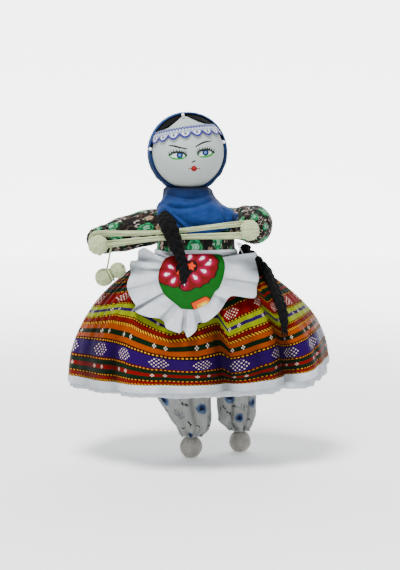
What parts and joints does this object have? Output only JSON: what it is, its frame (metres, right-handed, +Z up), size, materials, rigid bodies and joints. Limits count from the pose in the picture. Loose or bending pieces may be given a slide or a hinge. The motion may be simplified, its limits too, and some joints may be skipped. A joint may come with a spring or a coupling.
{
  "type": "rag doll",
  "caption": "Stuffed cloth doll in a headscarf, banded skirt and ruffled apron, standing on two ball feet and holding out a skein of wool that a small bundle hangs from.",
  "frame": {"origin": "On the floor, below the middle of the skirt's hem.", "axes": "+Z is up, the doll faces -Y, and +X is the doll's own left."},
  "size_m": [0.2611, 0.187, 0.3454],
  "materials": {
    "foam": "expanded foam ball",
    "stocking_skin": "pale stretched jersey with a painted face",
    "black_felt": "matt black felt",
    "lace": "white net lace with a violet scalloped edge",
    "blue_cloth": "plain blue cotton voile",
    "pearl": "small white pearl bead on a steel pin",
    "stuffed_calico": "stuffed pale calico",
    "wood": "plain turned dowel",
    "floral_print": "black cotton with small green, cream and pink flowers",
    "brocade": "satin ribbon stripes in red, green, gold and purple",
    "white_cotton": "plain white cotton",
    "apron_print": "cotton print with one large red flower on green",
    "steel_wire": "plain steel wire",
    "wool": "cream wool yarn",
    "trouser_print": "pale grey cotton with small blue flowers"
  },
  "bodies": {
    "torso": {"torso_core": "stuffed_calico", "neck_dowel": "wood", "bodice": "floral_print", "scarf_drape": "blue_cloth", "skirt": "brocade", "skirt_hem_band": "white_cotton", "petticoat": "white_cotton", "apron_waistband": "white_cotton", "apron_panel": "apron_print", "apron_ruffle": "white_cotton", "right_braid": "black_felt", "left_braid": "black_felt"},
    "head": {"head_ball": "foam", "face_cover": "stocking_skin", "right_hair": "black_felt", "left_hair": "black_felt", "lace_headband": "lace", "scarf_hood": "blue_cloth", "right_pearl_pin": "pearl", "left_pearl_pin": "pearl", "parting_pearl_pin": "pearl"},
    "right_arm": {"right_sleeve": "floral_print", "right_arm_wire": "steel_wire", "right_hand": "wool", "skein": "wool"},
    "left_arm": {"left_sleeve": "floral_print", "left_arm_wire": "steel_wire", "left_hand": "wool"},
    "wool_bundle": {"yarn_strand": "wool", "wool_bundle_core": "wool", "wool_bundle_winding": "wool"},
    "right_leg": {"right_trouser": "trouser_print", "right_leg_rod": "wood", "right_foot": "stuffed_calico"},
    "left_leg": {"left_trouser": "trouser_print", "left_leg_rod": "wood", "left_foot": "stuffed_calico"}
  },
  "joints": [
    {"name": "neck_turn", "type": "hinge", "parent": "torso", "child": "head", "pos_m": [-0.0125, 0, 0.305], "axis": [-0.1392, 0, 0.9903], "range_deg": [-30, 30]},
    {"name": "right_shoulder", "type": "hinge", "parent": "torso", "child": "right_arm", "pos_m": [-0.036, 0, 0.234], "axis": [-1, 0, 0], "range_deg": [-4, 25], "deforming": ["right_braid"]},
    {"name": "left_shoulder", "type": "hinge", "parent": "torso", "child": "left_arm", "pos_m": [0.033, 0, 0.234], "axis": [-1, 0, 0], "range_deg": [-4, 25]},
    {"name": "bundle_swing", "type": "hinge", "parent": "right_arm", "child": "wool_bundle", "pos_m": [-0.0865, -0.0309, 0.2121], "axis": [-1, 0, 0], "range_deg": [-35, 25]},
    {"name": "right_hip", "type": "hinge", "parent": "torso", "child": "right_leg", "pos_m": [-0.021, 0, 0.186], "axis": [-1, 0, 0], "range_deg": [-15, 20]},
    {"name": "left_hip", "type": "hinge", "parent": "torso", "child": "left_leg", "pos_m": [0.015, 0, 0.186], "axis": [-1, 0, 0], "range_deg": [-15, 20]}
  ],
  "couplings": [
    {"joint": "left_shoulder", "follows": "right_shoulder", "ratio": 1}
  ]
}
